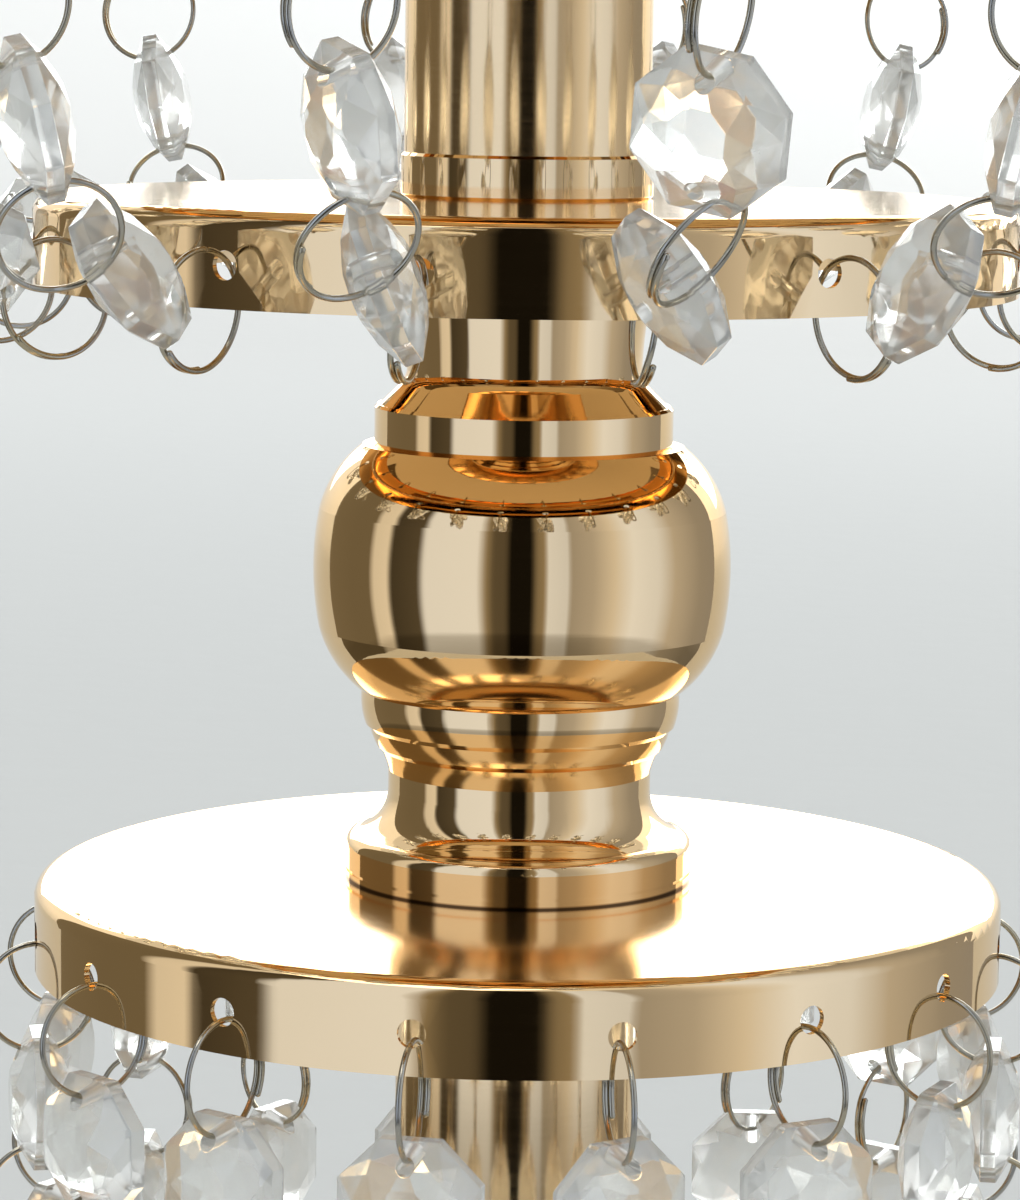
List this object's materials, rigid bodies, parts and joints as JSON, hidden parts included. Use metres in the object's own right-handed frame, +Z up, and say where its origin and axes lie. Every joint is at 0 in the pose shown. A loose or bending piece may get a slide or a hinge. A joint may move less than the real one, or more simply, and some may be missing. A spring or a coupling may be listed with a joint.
{
  "type": "tiered cake stand",
  "caption": "Cake stand: a round plate and two small discs on a turned column over a weighted foot, with strands of octagonal crystal beads hanging from the rims.",
  "frame": {"origin": "on the table, under the middle of the foot", "axes": "+Z up along the column; the stand is the same from every side, and -Y faces the viewer"},
  "size_m": [0.1822, 0.1822, 0.274],
  "materials": {
    "gold_plate": "polished pale gold plate",
    "crystal": "clear cut glass beads on dark chrome wire rings",
    "zinc_steel": "zinc plated",
    "cast_iron": "black painted casting",
    "black_sheet": "black powder coat",
    "rubber": "matt black rubber",
    "bush_plastic": "natural moulded plastic"
  },
  "bodies": {
    "stand": {"rubber_feet": "rubber", "cover_screws": "zinc_steel", "foot_cover": "black_sheet", "foot_weight": "cast_iron", "foot_shell": "gold_plate", "tie_rod": "zinc_steel", "rod_washer": "zinc_steel", "rod_nut": "zinc_steel", "lower_collar": "gold_plate", "lower_tube": "gold_plate", "lower_tube_bush": "bush_plastic", "lower_disc": "gold_plate", "baluster_foot": "gold_plate", "baluster_cup": "gold_plate", "baluster_ball": "gold_plate", "baluster_ring": "gold_plate", "baluster_neck": "gold_plate", "upper_disc": "gold_plate", "upper_collar": "gold_plate", "upper_tube": "gold_plate", "upper_tube_bush": "bush_plastic", "plate_boss": "gold_plate", "cake_plate": "gold_plate"},
    "lower_strand_01_body": {"lower_strand_01": "crystal"},
    "lower_strand_02_body": {"lower_strand_02": "crystal"},
    "lower_strand_03_body": {"lower_strand_03": "crystal"},
    "lower_strand_04_body": {"lower_strand_04": "crystal"},
    "lower_strand_05_body": {"lower_strand_05": "crystal"},
    "lower_strand_06_body": {"lower_strand_06": "crystal"},
    "lower_strand_07_body": {"lower_strand_07": "crystal"},
    "lower_strand_08_body": {"lower_strand_08": "crystal"},
    "lower_strand_09_body": {"lower_strand_09": "crystal"},
    "lower_strand_10_body": {"lower_strand_10": "crystal"},
    "lower_strand_11_body": {"lower_strand_11": "crystal"},
    "lower_strand_12_body": {"lower_strand_12": "crystal"},
    "lower_strand_13_body": {"lower_strand_13": "crystal"},
    "lower_strand_14_body": {"lower_strand_14": "crystal"},
    "lower_strand_15_body": {"lower_strand_15": "crystal"},
    "lower_strand_16_body": {"lower_strand_16": "crystal"},
    "upper_strand_01_body": {"upper_strand_01": "crystal"},
    "upper_strand_02_body": {"upper_strand_02": "crystal"},
    "upper_strand_03_body": {"upper_strand_03": "crystal"},
    "upper_strand_04_body": {"upper_strand_04": "crystal"},
    "upper_strand_05_body": {"upper_strand_05": "crystal"},
    "upper_strand_06_body": {"upper_strand_06": "crystal"},
    "upper_strand_07_body": {"upper_strand_07": "crystal"},
    "upper_strand_08_body": {"upper_strand_08": "crystal"},
    "upper_strand_09_body": {"upper_strand_09": "crystal"},
    "upper_strand_10_body": {"upper_strand_10": "crystal"},
    "upper_strand_11_body": {"upper_strand_11": "crystal"},
    "upper_strand_12_body": {"upper_strand_12": "crystal"},
    "upper_strand_13_body": {"upper_strand_13": "crystal"},
    "upper_strand_14_body": {"upper_strand_14": "crystal"},
    "upper_strand_15_body": {"upper_strand_15": "crystal"},
    "upper_strand_16_body": {"upper_strand_16": "crystal"}
  },
  "joints": [
    {"name": "lower_strand_01_swing", "type": "hinge", "parent": "stand", "child": "lower_strand_01_body", "pos_m": [0.04933, 0.00981, 0.12415], "axis": [0.1951, -0.9808, 0], "range_deg": [-6, 25]},
    {"name": "lower_strand_02_swing", "type": "hinge", "parent": "stand", "child": "lower_strand_02_body", "pos_m": [0.04182, 0.02795, 0.12415], "axis": [0.5556, -0.8315, 0], "range_deg": [-6, 25]},
    {"name": "lower_strand_03_swing", "type": "hinge", "parent": "stand", "child": "lower_strand_03_body", "pos_m": [0.02795, 0.04182, 0.12415], "axis": [0.8315, -0.5556, 0], "range_deg": [-6, 25]},
    {"name": "lower_strand_04_swing", "type": "hinge", "parent": "stand", "child": "lower_strand_04_body", "pos_m": [0.00981, 0.04933, 0.12415], "axis": [0.9808, -0.1951, 0], "range_deg": [-6, 25]},
    {"name": "lower_strand_05_swing", "type": "hinge", "parent": "stand", "child": "lower_strand_05_body", "pos_m": [-0.00981, 0.04933, 0.12415], "axis": [0.9808, 0.1951, 0], "range_deg": [-6, 25]},
    {"name": "lower_strand_06_swing", "type": "hinge", "parent": "stand", "child": "lower_strand_06_body", "pos_m": [-0.02795, 0.04182, 0.12415], "axis": [0.8315, 0.5556, 0], "range_deg": [-6, 25]},
    {"name": "lower_strand_07_swing", "type": "hinge", "parent": "stand", "child": "lower_strand_07_body", "pos_m": [-0.04182, 0.02795, 0.12415], "axis": [0.5556, 0.8315, 0], "range_deg": [-6, 25]},
    {"name": "lower_strand_08_swing", "type": "hinge", "parent": "stand", "child": "lower_strand_08_body", "pos_m": [-0.04933, 0.00981, 0.12415], "axis": [0.1951, 0.9808, 0], "range_deg": [-6, 25]},
    {"name": "lower_strand_09_swing", "type": "hinge", "parent": "stand", "child": "lower_strand_09_body", "pos_m": [-0.04933, -0.00981, 0.12415], "axis": [-0.1951, 0.9808, 0], "range_deg": [-6, 25]},
    {"name": "lower_strand_10_swing", "type": "hinge", "parent": "stand", "child": "lower_strand_10_body", "pos_m": [-0.04182, -0.02795, 0.12415], "axis": [-0.5556, 0.8315, 0], "range_deg": [-6, 25]},
    {"name": "lower_strand_11_swing", "type": "hinge", "parent": "stand", "child": "lower_strand_11_body", "pos_m": [-0.02795, -0.04182, 0.12415], "axis": [-0.8315, 0.5556, 0], "range_deg": [-6, 25]},
    {"name": "lower_strand_12_swing", "type": "hinge", "parent": "stand", "child": "lower_strand_12_body", "pos_m": [-0.00981, -0.04933, 0.12415], "axis": [-0.9808, 0.1951, 0], "range_deg": [-6, 25]},
    {"name": "lower_strand_13_swing", "type": "hinge", "parent": "stand", "child": "lower_strand_13_body", "pos_m": [0.00981, -0.04933, 0.12415], "axis": [-0.9808, -0.1951, 0], "range_deg": [-6, 25]},
    {"name": "lower_strand_14_swing", "type": "hinge", "parent": "stand", "child": "lower_strand_14_body", "pos_m": [0.02795, -0.04182, 0.12415], "axis": [-0.8315, -0.5556, 0], "range_deg": [-6, 25]},
    {"name": "lower_strand_15_swing", "type": "hinge", "parent": "stand", "child": "lower_strand_15_body", "pos_m": [0.04182, -0.02795, 0.12415], "axis": [-0.5556, -0.8315, 0], "range_deg": [-6, 25]},
    {"name": "lower_strand_16_swing", "type": "hinge", "parent": "stand", "child": "lower_strand_16_body", "pos_m": [0.04933, -0.00981, 0.12415], "axis": [-0.1951, -0.9808, 0], "range_deg": [-6, 25]},
    {"name": "upper_strand_01_swing", "type": "hinge", "parent": "stand", "child": "upper_strand_01_body", "pos_m": [0.04933, 0.00981, 0.1959], "axis": [0.4514, 0.0898, 0.8878], "range_deg": [-15, 15]},
    {"name": "upper_strand_02_swing", "type": "hinge", "parent": "stand", "child": "upper_strand_02_body", "pos_m": [0.04182, 0.02795, 0.1959], "axis": [0.3827, 0.2557, 0.8878], "range_deg": [-15, 15]},
    {"name": "upper_strand_03_swing", "type": "hinge", "parent": "stand", "child": "upper_strand_03_body", "pos_m": [0.02795, 0.04182, 0.1959], "axis": [0.2557, 0.3827, 0.8878], "range_deg": [-15, 15]},
    {"name": "upper_strand_04_swing", "type": "hinge", "parent": "stand", "child": "upper_strand_04_body", "pos_m": [0.00981, 0.04933, 0.1959], "axis": [0.0898, 0.4514, 0.8878], "range_deg": [-15, 15]},
    {"name": "upper_strand_05_swing", "type": "hinge", "parent": "stand", "child": "upper_strand_05_body", "pos_m": [-0.00981, 0.04933, 0.1959], "axis": [-0.0898, 0.4514, 0.8878], "range_deg": [-15, 15]},
    {"name": "upper_strand_06_swing", "type": "hinge", "parent": "stand", "child": "upper_strand_06_body", "pos_m": [-0.02795, 0.04182, 0.1959], "axis": [-0.2557, 0.3827, 0.8878], "range_deg": [-15, 15]},
    {"name": "upper_strand_07_swing", "type": "hinge", "parent": "stand", "child": "upper_strand_07_body", "pos_m": [-0.04182, 0.02795, 0.1959], "axis": [-0.3827, 0.2557, 0.8878], "range_deg": [-15, 15]},
    {"name": "upper_strand_08_swing", "type": "hinge", "parent": "stand", "child": "upper_strand_08_body", "pos_m": [-0.04933, 0.00981, 0.1959], "axis": [-0.4514, 0.0898, 0.8878], "range_deg": [-15, 15]},
    {"name": "upper_strand_09_swing", "type": "hinge", "parent": "stand", "child": "upper_strand_09_body", "pos_m": [-0.04933, -0.00981, 0.1959], "axis": [-0.4514, -0.0898, 0.8878], "range_deg": [-15, 15]},
    {"name": "upper_strand_10_swing", "type": "hinge", "parent": "stand", "child": "upper_strand_10_body", "pos_m": [-0.04182, -0.02795, 0.1959], "axis": [-0.3827, -0.2557, 0.8878], "range_deg": [-15, 15]},
    {"name": "upper_strand_11_swing", "type": "hinge", "parent": "stand", "child": "upper_strand_11_body", "pos_m": [-0.02795, -0.04182, 0.1959], "axis": [-0.2557, -0.3827, 0.8878], "range_deg": [-15, 15]},
    {"name": "upper_strand_12_swing", "type": "hinge", "parent": "stand", "child": "upper_strand_12_body", "pos_m": [-0.00981, -0.04933, 0.1959], "axis": [-0.0898, -0.4514, 0.8878], "range_deg": [-15, 15]},
    {"name": "upper_strand_13_swing", "type": "hinge", "parent": "stand", "child": "upper_strand_13_body", "pos_m": [0.00981, -0.04933, 0.1959], "axis": [0.0898, -0.4514, 0.8878], "range_deg": [-15, 15]},
    {"name": "upper_strand_14_swing", "type": "hinge", "parent": "stand", "child": "upper_strand_14_body", "pos_m": [0.02795, -0.04182, 0.1959], "axis": [0.2557, -0.3827, 0.8878], "range_deg": [-15, 15]},
    {"name": "upper_strand_15_swing", "type": "hinge", "parent": "stand", "child": "upper_strand_15_body", "pos_m": [0.04182, -0.02795, 0.1959], "axis": [0.3827, -0.2557, 0.8878], "range_deg": [-15, 15]},
    {"name": "upper_strand_16_swing", "type": "hinge", "parent": "stand", "child": "upper_strand_16_body", "pos_m": [0.04933, -0.00981, 0.1959], "axis": [0.4514, -0.0898, 0.8878], "range_deg": [-15, 15]}
  ]
}
